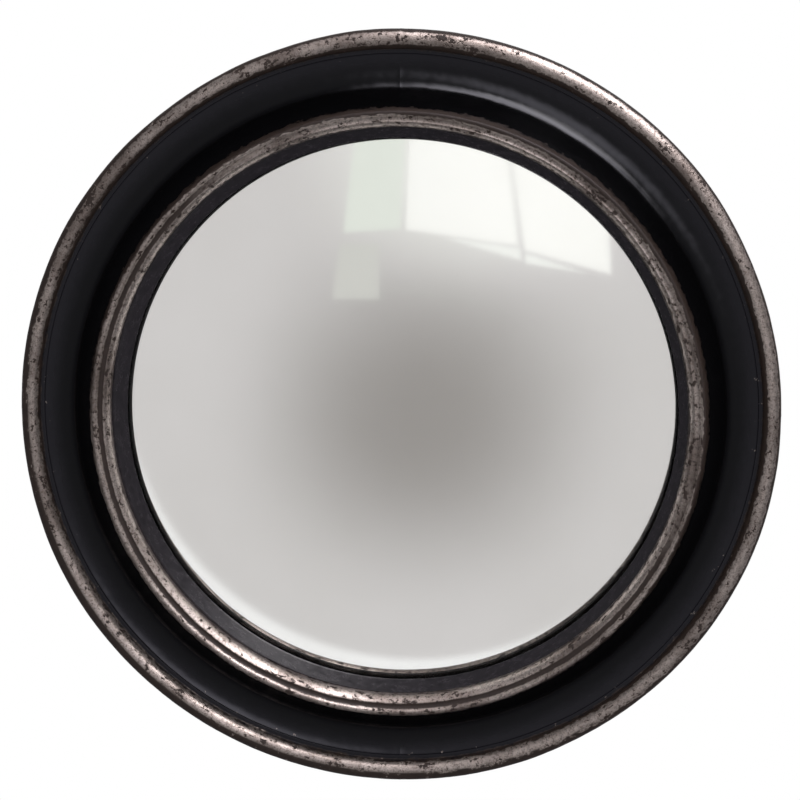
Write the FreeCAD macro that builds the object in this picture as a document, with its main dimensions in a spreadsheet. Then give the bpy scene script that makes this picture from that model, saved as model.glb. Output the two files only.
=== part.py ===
# Convex butlers mirror: a turned frame of four segments, slip ring, domed glass, back board and ring hanger.
# The mirror hangs on a wall in the plane y = 0 and faces -Y, with +Z up and the axis of the frame along Y.
# Each piece is drawn with its own +Z pointing out of the wall, and is then stood up by its Placement.

import FreeCAD, Part
import math
import os
import Sketcher

doc = FreeCAD.newDocument("ConvexMirror")
sheet = doc.addObject("Spreadsheet::Sheet", "Sizes")

# Driving sizes in millimetres. Widths run outwards from the visible glass, lifts forward from the back.
sizes = {
    # frame moulding, from the inside out
    "SightRadius": 136.2,
    "SlipWidth": 7.4,
    "RingTwoWidth": 3.3,
    "RingTwoRound": 6.5,
    "GrooveWidth": 3.0,
    "GrooveRound": 2.2,
    "RingOneWidth": 2.7,
    "RingOneRound": 1.8,
    "RiserWidth": 10.4,
    "RiserRound": 60.0,
    "CoveWidth": 15.3,
    "CoveRound": 19.0,
    "StepWidth": 0.3,
    "FilletWidth": 2.2,
    "BeadRound": 5.2,
    "SideSetback": 1.2,
    "BackChamfer": 2.0,
    # heights of the moulding
    "ShoulderLift": 22.0,
    "LipThickness": 2.3,
    "RingTwoRise": 7.3,
    "GrooveRise": 1.0,
    "RiserDrop": 17.5,
    "CoveDrop": 1.3,
    "StepHeight": 0.8,
    "BeadLift": 1.4,
    # splines across the glue joints
    "SplineInset": 4.0,
    "SplineWidth": 24.0,
    "SplineThickness": 4.0,
    "SplineReach": 8.0,
    "SplineLift": 4.0,
    "SplinePlay": 0.1,
    # slip ring, glass and what holds them; all of these sit a little to the right in their rebate
    "SlipDrop": 1.9,
    "SlipEdge": 1.2,
    "SlipPlay": 1.7,
    "SeatShift": 1.4,
    "GasketThickness": 0.8,
    "GasketInset": 1.5,
    "SeatGap": 0.05,
    "GlassCover": 11.3,
    "GlassPlay": 1.5,
    "GlassRise": 20.0,
    "GlassThickness": 3.0,
    "CoatThickness": 0.2,
    "CoatMargin": 0.5,
    "CollarWidth": 9.0,
    "CollarPlay": 0.5,
    "LedgeWidth": 5.0,
    "BoardThickness": 4.0,
    "BoardPlay": 0.5,
    # turn buttons
    "ButtonSetback": 6.0,
    "ButtonReach": 13.0,
    "ButtonHalfWidth": 6.0,
    "ButtonThickness": 1.5,
    "ButtonGap": 0.1,
    "ButtonScrewRadius": 1.9,
    "ButtonScrewLength": 13.0,
    "ButtonHeadRadius": 3.6,
    "ButtonHeadHeight": 2.0,
    "PivotPlay": 0.06,
    # ring hanger
    "HangerSetback": 8.0,
    "PlateHalfLength": 23.0,
    "PlateHalfHeight": 6.0,
    "PlateThickness": 1.2,
    "PlateCorner": 3.0,
    "HangerScrewOffset": 17.0,
    "HangerScrewRadius": 1.75,
    "HangerScrewLength": 12.0,
    "HangerHeadRadius": 3.2,
    "HangerHeadHeight": 1.8,
    "EyeHalfLength": 6.0,
    "EyeWall": 1.0,
    "WireRadius": 1.2,
    "WireGap": 0.3,
    "RingHalfWidth": 11.0,
    "RingArm": 3.0,
    "RingCorner": 2.6,
    # bumpers
    "BumperSetback": 20.0,
    "BumperHeight": 6.0,
    "BumperRadius": 7.0,
    "BumperTaper": 1.0,
    "BumperSeat": 2.4,
    "BumperScrewRadius": 1.5,
    "BumperScrewLength": 10.0,
    "BumperHeadRadius": 2.9,
    "BumperHeadHeight": 1.8,
    # screws in wood and in metal
    "PilotPlay": 0.03,
    "HolePlay": 0.2,
    "HeadGap": 0.05,
    "PointLength": 2.5,
    "SlotWidth": 0.9,
    "SlotShare": 0.5,
}

# Places round the frame, in degrees anticlockwise from +X as seen from the front.
angles = {
    "ButtonAngle": 45.0,
    "BumperAngle": 65.0,
}

for row, (alias, size) in enumerate({**sizes, **angles}.items(), start=1):
    sheet.set(f"A{row}", alias)
    sheet.set(f"B{row}", str(size))
    sheet.setAlias(f"B{row}", alias)
doc.recompute()


def size(name):
    """The sheet's cell of that name, for use in an expression."""
    return f"Sizes.{name}"


def value(expression):
    """The number that an expression of sheet cells gives now."""
    return float(sheet.evalExpression(expression))


# Radii of the moulding's corners, as expressions of the sheet.
sightRadius = size("SightRadius")
lipRadius = f"({sightRadius} + Sizes.SlipWidth)"
grooveInner = f"({lipRadius} + Sizes.RingTwoWidth)"
grooveOuter = f"({grooveInner} + Sizes.GrooveWidth)"
riserTop = f"({grooveOuter} + Sizes.RingOneWidth)"
riserFoot = f"({riserTop} + Sizes.RiserWidth)"
coveEdge = f"({riserFoot} + Sizes.CoveWidth)"
filletInner = f"({coveEdge} + Sizes.StepWidth)"
beadFoot = f"({filletInner} + Sizes.FilletWidth)"
beadCentre = f"({beadFoot} + sqrt(Sizes.BeadRound^2 - Sizes.BeadLift^2))"
frameRadius = f"({beadCentre} + Sizes.BeadRound)"
sideRadius = f"({frameRadius} - Sizes.SideSetback)"

# Heights of the same corners above the frame's back.
shoulderLift = size("ShoulderLift")
lipLift = f"({shoulderLift} + Sizes.LipThickness)"
grooveLift = f"({lipLift} + Sizes.RingTwoRise)"
crestFoot = f"({grooveLift} + Sizes.GrooveRise)"
riserLift = f"({crestFoot} - Sizes.RiserDrop)"
coveLift = f"({riserLift} - Sizes.CoveDrop)"
filletLift = f"({coveLift} + Sizes.StepHeight)"
beadLift = f"({filletLift} + Sizes.BeadLift)"
sideLift = f"({beadLift} - sqrt(Sizes.BeadRound^2 - (Sizes.BeadRound - Sizes.SideSetback)^2))"

# Glass: a spherical cap, seated on the gasket behind the slip ring.
glassRadius = f"({sightRadius} + Sizes.GlassCover)"
glassRebate = f"({glassRadius} + Sizes.GlassPlay)"
boardRebate = f"({glassRebate} + Sizes.LedgeWidth)"
boardLift = size("BoardThickness")
domeRadius = f"(({glassRadius}^2 + Sizes.GlassRise^2) / (2 * Sizes.GlassRise))"
slipLift = f"({shoulderLift} - Sizes.SlipDrop - Sizes.SlipEdge)"
glassSightLift = f"({slipLift} - Sizes.GasketThickness - 2 * Sizes.SeatGap)"
domeCentre = f"({glassSightLift} - sqrt({domeRadius}^2 - {sightRadius}^2))"
coatRadius = f"({domeRadius} - Sizes.GlassThickness - Sizes.SeatGap)"
coatBackRadius = f"({coatRadius} - Sizes.CoatThickness)"

# Hardware on the back.
buttonCircle = f"({boardRebate} + Sizes.ButtonSetback)"
buttonReach = "(Sizes.ButtonSetback + Sizes.ButtonReach)"
bumperCircle = f"({boardRebate} + Sizes.BumperSetback)"
hangerLift = f"({boardRebate} + Sizes.HangerSetback)"
eyeRadius = "(Sizes.WireRadius + Sizes.PivotPlay)"
eyeOutside = f"({eyeRadius} + Sizes.EyeWall)"
eyeLift = "(Sizes.PlateThickness + Sizes.WireGap + Sizes.WireRadius)"


def domeLift(radius, ball):
    """Height of the dome of that ball radius above the frame's back, at a radius from the axis."""
    return f"({domeCentre} + sqrt({ball}^2 - {radius}^2))"


def newBody(label):
    body = doc.addObject("PartDesign::Body", label)
    body.Label = label
    return body


def plane(body, role):
    """One of the body's own origin planes."""
    return next(feature for feature in body.Origin.OriginFeatures if feature.Role == role)


def newSketch(body, name, role):
    sketch = body.newObject("Sketcher::SketchObject", name)
    sketch.AttachmentSupport = (plane(body, role), [""])
    sketch.MapMode = "FlatFace"
    return sketch


def bindPoint(sketch, geometry, vertex, x, y, tag):
    """Ties a sketch point to two expressions, or to an axis where one of them is zero."""
    for kind, expression, axis in (("DistanceX", x, -2), ("DistanceY", y, -1)):
        if expression == "0":
            sketch.addConstraint(Sketcher.Constraint("PointOnObject", geometry, vertex, axis))
            continue
        datum = value(expression)
        index = sketch.addConstraint(Sketcher.Constraint(kind, -1, 1, geometry, vertex, datum))
        sketch.renameConstraint(index, f"{kind}{tag}")
        sketch.setExpression(f"Constraints.{kind}{tag}", expression)


def bindRadius(sketch, geometry, radius, tag):
    index = sketch.addConstraint(Sketcher.Constraint("Radius", geometry, value(radius)))
    sketch.renameConstraint(index, f"Radius{tag}")
    sketch.setExpression(f"Constraints.Radius{tag}", radius)


def drawOutline(sketch, corners, closed=True):
    """Draws an outline through corners (x, y), or (x, y, radius, turn) before an arc; turn +1 is anticlockwise."""
    places = [FreeCAD.Vector(value(corner[0]), value(corner[1]), 0) for corner in corners]
    edgeCount = len(corners) if closed else len(corners) - 1
    ends = []
    for index in range(edgeCount):
        start = places[index]
        finish = places[(index + 1) % len(places)]
        if len(corners[index]) == 2:
            geometry = sketch.addGeometry(Part.LineSegment(start, finish), False)
            ends.append((geometry, 1, 2))
            continue
        radius = value(corners[index][2])
        turn = corners[index][3]
        chord = finish - start
        depth = math.sqrt(radius ** 2 - (chord.Length / 2) ** 2)
        inward = FreeCAD.Vector(-chord.y, chord.x, 0).normalize() * turn
        centre = (start + finish) * 0.5 + inward * depth
        first, last = (start, finish) if turn > 0 else (finish, start)
        fromAngle = math.atan2(first.y - centre.y, first.x - centre.x)
        toAngle = math.atan2(last.y - centre.y, last.x - centre.x)
        if toAngle <= fromAngle:
            toAngle += 2 * math.pi
        circle = Part.Circle(centre, FreeCAD.Vector(0, 0, 1), radius)
        geometry = sketch.addGeometry(Part.ArcOfCircle(circle, fromAngle, toAngle), False)
        ends.append((geometry, 1, 2) if turn > 0 else (geometry, 2, 1))
    for index in range(edgeCount):
        geometry, startVertex, finishVertex = ends[index]
        bindPoint(sketch, geometry, startVertex, corners[index][0], corners[index][1], str(index))
        if index + 1 < edgeCount or closed:
            nextGeometry, nextVertex, _ = ends[(index + 1) % edgeCount]
            sketch.addConstraint(
                Sketcher.Constraint("Coincident", geometry, finishVertex, nextGeometry, nextVertex))
        else:
            bindPoint(sketch, geometry, finishVertex, corners[-1][0], corners[-1][1], "End")
        if len(corners[index]) > 2:
            bindRadius(sketch, geometry, corners[index][2], str(index))


def drawCircle(sketch, x, y, radius, tag="0"):
    centre = FreeCAD.Vector(value(x), value(y), 0)
    circle = Part.Circle(centre, FreeCAD.Vector(0, 0, 1), value(radius))
    geometry = sketch.addGeometry(circle, False)
    bindPoint(sketch, geometry, 3, x, y, f"Centre{tag}")
    bindRadius(sketch, geometry, radius, f"Hole{tag}")


def turned(body, name, corners, angle=360):
    """Turns an outline of (radius, lift) corners about the piece's own Z axis."""
    sketch = newSketch(body, f"{name}Outline", "XZ_Plane")
    drawOutline(sketch, corners)
    revolution = body.newObject("PartDesign::Revolution", f"{name}Turned")
    revolution.Profile = sketch
    revolution.ReferenceAxis = (sketch, ["V_Axis"])
    revolution.Angle = angle
    doc.recompute()


def cut(body, sketch, name, depth, forward, bothWays=False):
    """Cuts a pocket out of the body, and stops the build if it removes nothing."""
    before = body.Shape.Volume
    pocket = body.newObject("PartDesign::Pocket", name)
    pocket.Profile = sketch
    pocket.Type = "Length"
    pocket.Midplane = bothWays
    pocket.Reversed = forward
    pocket.setExpression("Length", depth)
    doc.recompute()
    if body.Shape.Volume >= before:
        raise RuntimeError(f"{body.Label}: {name} cuts nothing")


def pad(body, sketch, name, length, forward=True, bothWays=False):
    feature = body.newObject("PartDesign::Pad", name)
    feature.Profile = sketch
    feature.Type = "Length"
    feature.Midplane = bothWays
    feature.Reversed = not forward
    feature.setExpression("Length", length)
    doc.recompute()


def stand(piece, x="0", lift="0", z="0", spin=0.0):
    """Stands a piece up on the wall: its own +Z comes to point forward (-Y), and spin turns it about that."""
    upright = FreeCAD.Rotation(FreeCAD.Vector(1, 0, 0), 90)
    turn = FreeCAD.Rotation(FreeCAD.Vector(0, 0, 1), spin)
    piece.Placement = FreeCAD.Placement(FreeCAD.Vector(0, 0, 0), upright.multiply(turn))
    piece.setExpression("Placement.Base.x", x)
    piece.setExpression("Placement.Base.y", f"-(Sizes.BumperHeight + {lift})")
    piece.setExpression("Placement.Base.z", z)


def polar(radius, angle):
    """X and Z of a place on a circle round the mirror's axis."""
    return f"{radius} * cos({angle})", f"{radius} * sin({angle})"


def frameCorners():
    """The moulding's section, anticlockwise from the back board's rebate."""
    bead = size("BeadRound")
    return [
        (boardRebate, "0"),
        (f"{sideRadius} - Sizes.BackChamfer", "0"),
        (sideRadius, size("BackChamfer")),
        (sideRadius, sideLift, bead, 1),
        (frameRadius, beadLift, bead, 1),
        (beadCentre, f"{beadLift} + Sizes.BeadRound", bead, 1),
        (beadFoot, filletLift),
        (filletInner, filletLift),
        (coveEdge, coveLift, size("CoveRound"), -1),
        (riserFoot, riserLift, size("RiserRound"), -1),
        (riserTop, crestFoot, size("RingOneRound"), 1),
        (grooveOuter, crestFoot, size("GrooveRound"), -1),
        (grooveInner, grooveLift, size("RingTwoRound"), 1),
        (lipRadius, lipLift),
        (lipRadius, shoulderLift),
        (glassRebate, shoulderLift),
        (glassRebate, boardLift),
        (boardRebate, boardLift),
    ]


def splineSlot(body, name, role, forward):
    """Half of a spline's slot in one end of a frame segment."""
    slotInner = f"({boardRebate} + Sizes.SplineInset - Sizes.SplinePlay)"
    slotOuter = f"({boardRebate} + Sizes.SplineInset + Sizes.SplineWidth + Sizes.SplinePlay)"
    slotBottom = "(Sizes.SplineLift - Sizes.SplinePlay)"
    slotTop = "(Sizes.SplineLift + Sizes.SplineThickness + Sizes.SplinePlay)"
    sketch = newSketch(body, f"{name}Sketch", role)
    drawOutline(sketch, [
        (slotInner, slotBottom),
        (slotOuter, slotBottom),
        (slotOuter, slotTop),
        (slotInner, slotTop),
    ])
    cut(body, sketch, name, "Sizes.SplineReach + Sizes.SplinePlay", forward)


def pilotHole(body, name, x, y, radius, depth):
    """A blind hole for a wood screw, drilled forward from the frame's back."""
    sketch = newSketch(body, f"{name}Sketch", "XY_Plane")
    drawCircle(sketch, x, y, f"{radius} + Sizes.PilotPlay")
    cut(body, sketch, name, depth, True)


def frameSegment(label, quarter, bumperAngle, hangerHole):
    """One quarter of the frame, from quarter * 90 degrees on, with its slots and screw holes."""
    body = newBody(label)
    turned(body, "Moulding", frameCorners(), 90)
    splineSlot(body, "StartSlot", "XZ_Plane", False)
    splineSlot(body, "EndSlot", "YZ_Plane", True)
    x, y = polar(buttonCircle, size("ButtonAngle"))
    bite = "Sizes.ButtonScrewLength - Sizes.ButtonThickness - Sizes.ButtonGap"
    pilotHole(body, "ButtonPilot", x, y, size("ButtonScrewRadius"), bite)
    x, y = polar(bumperCircle, bumperAngle)
    bite = "Sizes.BumperScrewLength - Sizes.BumperSeat"
    pilotHole(body, "BumperPilot", x, y, size("BumperScrewRadius"), bite)
    bite = "Sizes.HangerScrewLength - Sizes.PlateThickness"
    offset = size("HangerScrewOffset")
    if hangerHole == "end":
        pilotHole(body, "HangerPilot", offset, hangerLift, size("HangerScrewRadius"), bite)
    if hangerHole == "start":
        pilotHole(body, "HangerPilot", hangerLift, offset, size("HangerScrewRadius"), bite)
    stand(body, spin=90.0 * quarter)
    return body


def jointSpline(label, quarter):
    """A loose tongue glued across one joint between frame segments."""
    body = newBody(label)
    inner = f"({boardRebate} + Sizes.SplineInset)"
    outer = f"({inner} + Sizes.SplineWidth)"
    sketch = newSketch(body, "TongueSketch", "XZ_Plane")
    drawOutline(sketch, [
        (inner, size("SplineLift")),
        (outer, size("SplineLift")),
        (outer, "Sizes.SplineLift + Sizes.SplineThickness"),
        (inner, "Sizes.SplineLift + Sizes.SplineThickness"),
    ])
    pad(body, sketch, "Tongue", "2 * Sizes.SplineReach", bothWays=True)
    stand(body, spin=90.0 * quarter)
    return body


def slipRing():
    """The dark ring under the frame's lip, sloping down to the glass."""
    body = newBody("slip_ring")
    outer = f"({glassRebate} - Sizes.SlipPlay)"
    front = f"({shoulderLift} - Sizes.SeatGap)"
    cover = "Sizes.GasketThickness + 2 * Sizes.SeatGap"
    turned(body, "Slip", [
        (sightRadius, slipLift),
        (outer, f"{domeLift(outer, domeRadius)} + {cover}"),
        (outer, front),
        (lipRadius, front),
        (sightRadius, f"{slipLift} + Sizes.SlipEdge"),
    ])
    stand(body, size("SeatShift"))
    return body


def glassGasket():
    """A felt strip between the slip ring and the front of the glass."""
    body = newBody("glass_gasket")
    inner = f"({sightRadius} + Sizes.GasketInset)"
    back = size("SeatGap")
    front = "(Sizes.GasketThickness + Sizes.SeatGap)"
    turned(body, "Gasket", [
        (inner, f"{domeLift(inner, domeRadius)} + {back}"),
        (glassRadius, f"{domeLift(glassRadius, domeRadius)} + {back}"),
        (glassRadius, f"{domeLift(glassRadius, domeRadius)} + {front}"),
        (inner, f"{domeLift(inner, domeRadius)} + {front}"),
    ])
    stand(body, size("SeatShift"))
    return body


def domedShell(label, frontBall, backBall, edge):
    """A spherical shell between two balls about the dome's centre, cut round at an edge radius."""
    blank = doc.addObject("Part::Cylinder", f"{label}_blank")
    blank.setExpression("Radius", edge)
    blank.setExpression("Height", f"{domeCentre} + {domeRadius} + Sizes.GlassThickness")
    balls = []
    for side, radius in (("front", frontBall), ("back", backBall)):
        ball = doc.addObject("Part::Sphere", f"{label}_{side}_ball")
        ball.setExpression("Radius", radius)
        ball.setExpression("Placement.Base.z", domeCentre)
        balls.append(ball)
    disc = doc.addObject("Part::Common", f"{label}_disc")
    disc.Base = blank
    disc.Tool = balls[0]
    shell = doc.addObject("Part::Cut", label)
    shell.Label = label
    shell.Base = disc
    shell.Tool = balls[1]
    stand(shell, size("SeatShift"))
    return shell


def packingCollar():
    """A card ring that presses the glass forward from the back board."""
    body = newBody("packing_collar")
    outer = f"({glassRadius} - Sizes.CoatMargin - Sizes.CollarPlay)"
    inner = f"({outer} - Sizes.CollarWidth)"
    turned(body, "Collar", [
        (inner, boardLift),
        (outer, boardLift),
        (outer, f"{domeLift(outer, coatBackRadius)} - Sizes.SeatGap"),
        (inner, f"{domeLift(inner, coatBackRadius)} - Sizes.SeatGap"),
    ])
    stand(body, size("SeatShift"))
    return body


def backBoard():
    """The disc in the frame's rear rebate."""
    board = doc.addObject("Part::Cylinder", "back_board")
    board.Label = "back_board"
    board.setExpression("Radius", f"{boardRebate} - Sizes.BoardPlay")
    board.setExpression("Height", boardLift)
    stand(board)
    return board


def screw(label, radius, length, headRadius, headHeight):
    """A slotted round-head wood screw: its own +Z runs from the head's underside to the point."""
    body = newBody(label)
    tip = f"({length} - Sizes.PointLength)"
    top = f"-{headHeight}"
    sphere = f"(({headRadius}^2 + {headHeight}^2) / (2 * {headHeight}))"
    turned(body, "Screw", [
        ("0", top, sphere, 1),
        (headRadius, "0"),
        (radius, "0"),
        (radius, tip),
        ("0", length),
    ])
    sketch = newSketch(body, "SlotSketch", "XZ_Plane")
    half = "Sizes.SlotWidth / 2"
    floor = f"-{headHeight} * (1 - Sizes.SlotShare)"
    drawOutline(sketch, [
        (f"-({half})", f"-{headHeight} - Sizes.SlotWidth"),
        (half, f"-{headHeight} - Sizes.SlotWidth"),
        (half, floor),
        (f"-({half})", floor),
    ])
    cut(body, sketch, "Slot", f"2 * {headRadius} + Sizes.SlotWidth", False, True)
    return body


def fasteners(label, screws):
    """Alike screws kept together as one group of separate solids."""
    group = doc.addObject("Part::Compound", label)
    group.Label = label
    group.Links = screws
    return group


def buttonAngle(quarter):
    return f"(Sizes.ButtonAngle + {90 * quarter})"


def turnButton(label, quarter):
    """A steel button that turns about its screw and reaches over the back board."""
    body = newBody(label)
    half = size("ButtonHalfWidth")
    sketch = newSketch(body, "ButtonSketch", "XY_Plane")
    flat = f"({buttonReach} - Sizes.ButtonHalfWidth)"
    drawOutline(sketch, [
        ("0", half, half, 1),
        (f"-{half}", "0", half, 1),
        ("0", f"-{half}"),
        (flat, f"-{half}", half, 1),
        (f"{flat} + {half}", "0", half, 1),
        (flat, half),
    ])
    drawCircle(sketch, "0", "0", "Sizes.ButtonScrewRadius + Sizes.PivotPlay")
    pad(body, sketch, "Button", size("ButtonThickness"))
    x, z = polar(buttonCircle, buttonAngle(quarter))
    away = "-(Sizes.ButtonThickness + Sizes.ButtonGap)"
    stand(body, x, away, z, 180.0 + value(buttonAngle(quarter)))
    return body


def buttonScrews():
    screws = []
    away = "-(Sizes.ButtonThickness + Sizes.ButtonGap + Sizes.HeadGap)"
    for quarter in range(4):
        body = screw(
            f"turn_button_screw_{quarter + 1}", size("ButtonScrewRadius"), size("ButtonScrewLength"),
            size("ButtonHeadRadius"), size("ButtonHeadHeight"))
        x, z = polar(buttonCircle, buttonAngle(quarter))
        stand(body, x, away, z, 20.0 + 35.0 * quarter)
        screws.append(body)
    return fasteners("turn_button_screws", screws)


def bumper(label, angle):
    """A tapered rubber foot with a sunk screw hole; its own +Z runs from the wall to the frame."""
    body = newBody(label)
    hole = "(Sizes.BumperScrewRadius + Sizes.HolePlay)"
    well = "(Sizes.BumperHeadRadius + Sizes.HolePlay)"
    floor = "(Sizes.BumperHeight - Sizes.BumperSeat)"
    turned(body, "Bumper", [
        (hole, floor),
        (well, floor),
        (well, "0"),
        ("Sizes.BumperRadius - Sizes.BumperTaper", "0"),
        (size("BumperRadius"), size("BumperHeight")),
        (hole, size("BumperHeight")),
    ])
    x, z = polar(bumperCircle, angle)
    stand(body, x, "-Sizes.BumperHeight", z)
    return body


def bumperScrews(places):
    screws = []
    away = "-(Sizes.BumperSeat + Sizes.HeadGap)"
    for number, angle in enumerate(places, start=1):
        body = screw(
            f"bumper_screw_{number}", size("BumperScrewRadius"), size("BumperScrewLength"),
            size("BumperHeadRadius"), size("BumperHeadHeight"))
        x, z = polar(bumperCircle, angle)
        stand(body, x, away, z, 50.0 * number)
        screws.append(body)
    return fasteners("bumper_screws", screws)


def hangerPlate():
    """The plate across the top joint, with the eye that carries the ring."""
    body = newBody("hanger_plate")
    length = size("PlateHalfLength")
    height = size("PlateHalfHeight")
    corner = size("PlateCorner")
    sketch = newSketch(body, "PlateSketch", "XY_Plane")
    drawOutline(sketch, [
        (f"-{length}", f"-({height} - {corner})", corner, 1),
        (f"-({length} - {corner})", f"-{height}"),
        (f"{length} - {corner}", f"-{height}", corner, 1),
        (length, f"-({height} - {corner})"),
        (length, f"{height} - {corner}", corner, 1),
        (f"{length} - {corner}", height),
        (f"-({length} - {corner})", height, corner, 1),
        (f"-{length}", f"{height} - {corner}"),
    ])
    hole = "Sizes.HangerScrewRadius + Sizes.HolePlay"
    drawCircle(sketch, size("HangerScrewOffset"), "0", hole, "Right")
    drawCircle(sketch, "-Sizes.HangerScrewOffset", "0", hole, "Left")
    pad(body, sketch, "Plate", size("PlateThickness"), forward=False)
    sketch = newSketch(body, "EyeSketch", "YZ_Plane")
    drawOutline(sketch, [
        (f"-{eyeOutside}", "0"),
        (f"-{eyeOutside}", f"-{eyeLift}", eyeOutside, 1),
        ("0", f"-({eyeLift} + {eyeOutside})", eyeOutside, 1),
        (eyeOutside, f"-{eyeLift}"),
        (eyeOutside, "0"),
    ])
    drawCircle(sketch, "0", f"-{eyeLift}", eyeRadius)
    pad(body, sketch, "Eye", "2 * Sizes.EyeHalfLength", bothWays=True)
    stand(body, "0", "0", hangerLift)
    return body


def hangerRing():
    """The D-shaped wire ring, hanging down from the bar in the plate's eye."""
    body = newBody("hanger_ring")
    half = size("RingHalfWidth")
    corner = size("RingCorner")
    arm = f"-(Sizes.RingArm + {corner})"
    path = newSketch(body, "RingPath", "XY_Plane")
    drawOutline(path, [
        ("0", "0"),
        (f"{half} - {corner}", "0", corner, -1),
        (half, f"-{corner}"),
        (half, arm, half, -1),
        ("0", f"{arm} - {half}", half, -1),
        (f"-{half}", arm),
        (f"-{half}", f"-{corner}", corner, -1),
        (f"-({half} - {corner})", "0"),
    ])
    section = newSketch(body, "RingSection", "YZ_Plane")
    drawCircle(section, "0", "0", size("WireRadius"))
    doc.recompute()
    pipe = body.newObject("PartDesign::AdditivePipe", "RingWire")
    pipe.Profile = section
    pipe.Spine = (path, [f"Edge{number + 1}" for number in range(path.GeometryCount)])
    doc.recompute()
    stand(body, "0", f"-{eyeLift}", hangerLift)
    return body


def hangerScrews():
    screws = []
    away = "-(Sizes.PlateThickness + Sizes.HeadGap)"
    for side, sign, spin in (("right", "", 15.0), ("left", "-", 70.0)):
        body = screw(
            f"hanger_screw_{side}", size("HangerScrewRadius"), size("HangerScrewLength"),
            size("HangerHeadRadius"), size("HangerHeadHeight"))
        stand(body, f"{sign}Sizes.HangerScrewOffset", away, hangerLift, spin)
        screws.append(body)
    return fasteners("hanger_screws", screws)


# Corners, in quarter turns anticlockwise from +X as seen from the front.
quarters = ["top_right", "top_left", "bottom_left", "bottom_right"]
joints = ["right", "top", "left", "bottom"]
nearEnd = size("BumperAngle")
nearStart = "(90 - Sizes.BumperAngle)"
bumperAngles = [nearEnd, f"(90 + {nearStart})", f"(180 + {nearEnd})", f"(270 + {nearStart})"]
ownAngles = [nearEnd, nearStart, nearEnd, nearStart]
hangerHoles = ["end", "start", None, None]

pieces = []
for quarter, corner in enumerate(quarters):
    segment = frameSegment(f"frame_segment_{corner}", quarter, ownAngles[quarter], hangerHoles[quarter])
    pieces.append(segment)
    pieces.append(jointSpline(f"joint_spline_{joints[quarter]}", quarter))
    pieces.append(turnButton(f"turn_button_{corner}", quarter))
    pieces.append(bumper(f"bumper_{corner}", bumperAngles[quarter]))
pieces.append(slipRing())
pieces.append(glassGasket())
pieces.append(domedShell("convex_glass", domeRadius, f"{domeRadius} - Sizes.GlassThickness", glassRadius))
pieces.append(domedShell("silvering", coatRadius, coatBackRadius, f"{glassRadius} - Sizes.CoatMargin"))
pieces.append(packingCollar())
pieces.append(backBoard())
pieces.append(buttonScrews())
pieces.append(bumperScrews(bumperAngles))
pieces.append(hangerPlate())
pieces.append(hangerRing())
pieces.append(hangerScrews())
doc.recompute()

for thing in doc.Objects:
    if "Invalid" in thing.State or "Error" in thing.State:
        raise RuntimeError(f"{thing.Label} failed: {thing.State}")
for piece in pieces:
    if piece.Shape.isNull() or not piece.Shape.isValid() or not piece.Shape.Solids:
        raise RuntimeError(f"{piece.Label} has no valid solid")

os.makedirs("parts", exist_ok=True)
for piece in pieces:
    piece.Shape.exportStep(f"parts/{piece.Label}.step")
    print(f"{piece.Label}: {len(piece.Shape.Solids)} solid(s), {piece.Shape.Volume:.1f} mm3")
print(f"frame: {2 * value(frameRadius):.1f} mm across")
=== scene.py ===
# Convex butlers mirror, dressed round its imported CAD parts.
# The wall is the plane y = 0 and the mirror faces -Y.
import math

import bpy
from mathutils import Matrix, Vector


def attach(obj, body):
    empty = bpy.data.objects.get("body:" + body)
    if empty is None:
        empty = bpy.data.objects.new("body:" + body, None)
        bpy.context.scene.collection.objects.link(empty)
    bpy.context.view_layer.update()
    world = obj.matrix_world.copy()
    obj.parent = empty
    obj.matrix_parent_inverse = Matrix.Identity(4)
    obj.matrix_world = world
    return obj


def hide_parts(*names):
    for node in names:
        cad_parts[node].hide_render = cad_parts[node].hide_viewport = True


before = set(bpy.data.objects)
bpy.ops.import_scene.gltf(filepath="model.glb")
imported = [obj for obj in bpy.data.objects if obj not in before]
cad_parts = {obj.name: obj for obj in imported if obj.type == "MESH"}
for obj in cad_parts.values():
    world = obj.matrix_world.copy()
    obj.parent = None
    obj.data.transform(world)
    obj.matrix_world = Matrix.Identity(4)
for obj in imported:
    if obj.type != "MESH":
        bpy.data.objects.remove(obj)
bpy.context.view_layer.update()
mm = 0.001
backPlane = 6.0    # the frame's back stands this far off the wall on its bumpers, in mm
mergeReach = 0.01    # points closer than this are merged, in mm
cornerReach = 0.02    # a point this near to a named corner of a section is that corner, in mm
jointReach = 0.001    # a point this near to a glue joint's plane lies on it, in mm


def deselectAll():
    if bpy.context.mode != "OBJECT":
        bpy.ops.object.mode_set(mode="OBJECT")
    bpy.ops.object.select_all(action="DESELECT")


def makeActive(piece):
    deselectAll()
    piece.select_set(True)
    bpy.context.view_layer.objects.active = piece


def editPiece(piece):
    makeActive(piece)
    bpy.ops.object.mode_set(mode="EDIT")
    bpy.ops.mesh.select_all(action="SELECT")


def leaveEdit():
    bpy.ops.object.mode_set(mode="OBJECT")


def smoothPiece(piece, angle=40):
    makeActive(piece)
    bpy.ops.object.shade_smooth_by_angle(angle=math.radians(angle))


def settle(piece):
    # merges doubles and turns all faces outwards
    editPiece(piece)
    bpy.ops.mesh.remove_doubles(threshold=mergeReach * mm)
    bpy.ops.mesh.normals_make_consistent(inside=False)
    leaveEdit()


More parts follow.
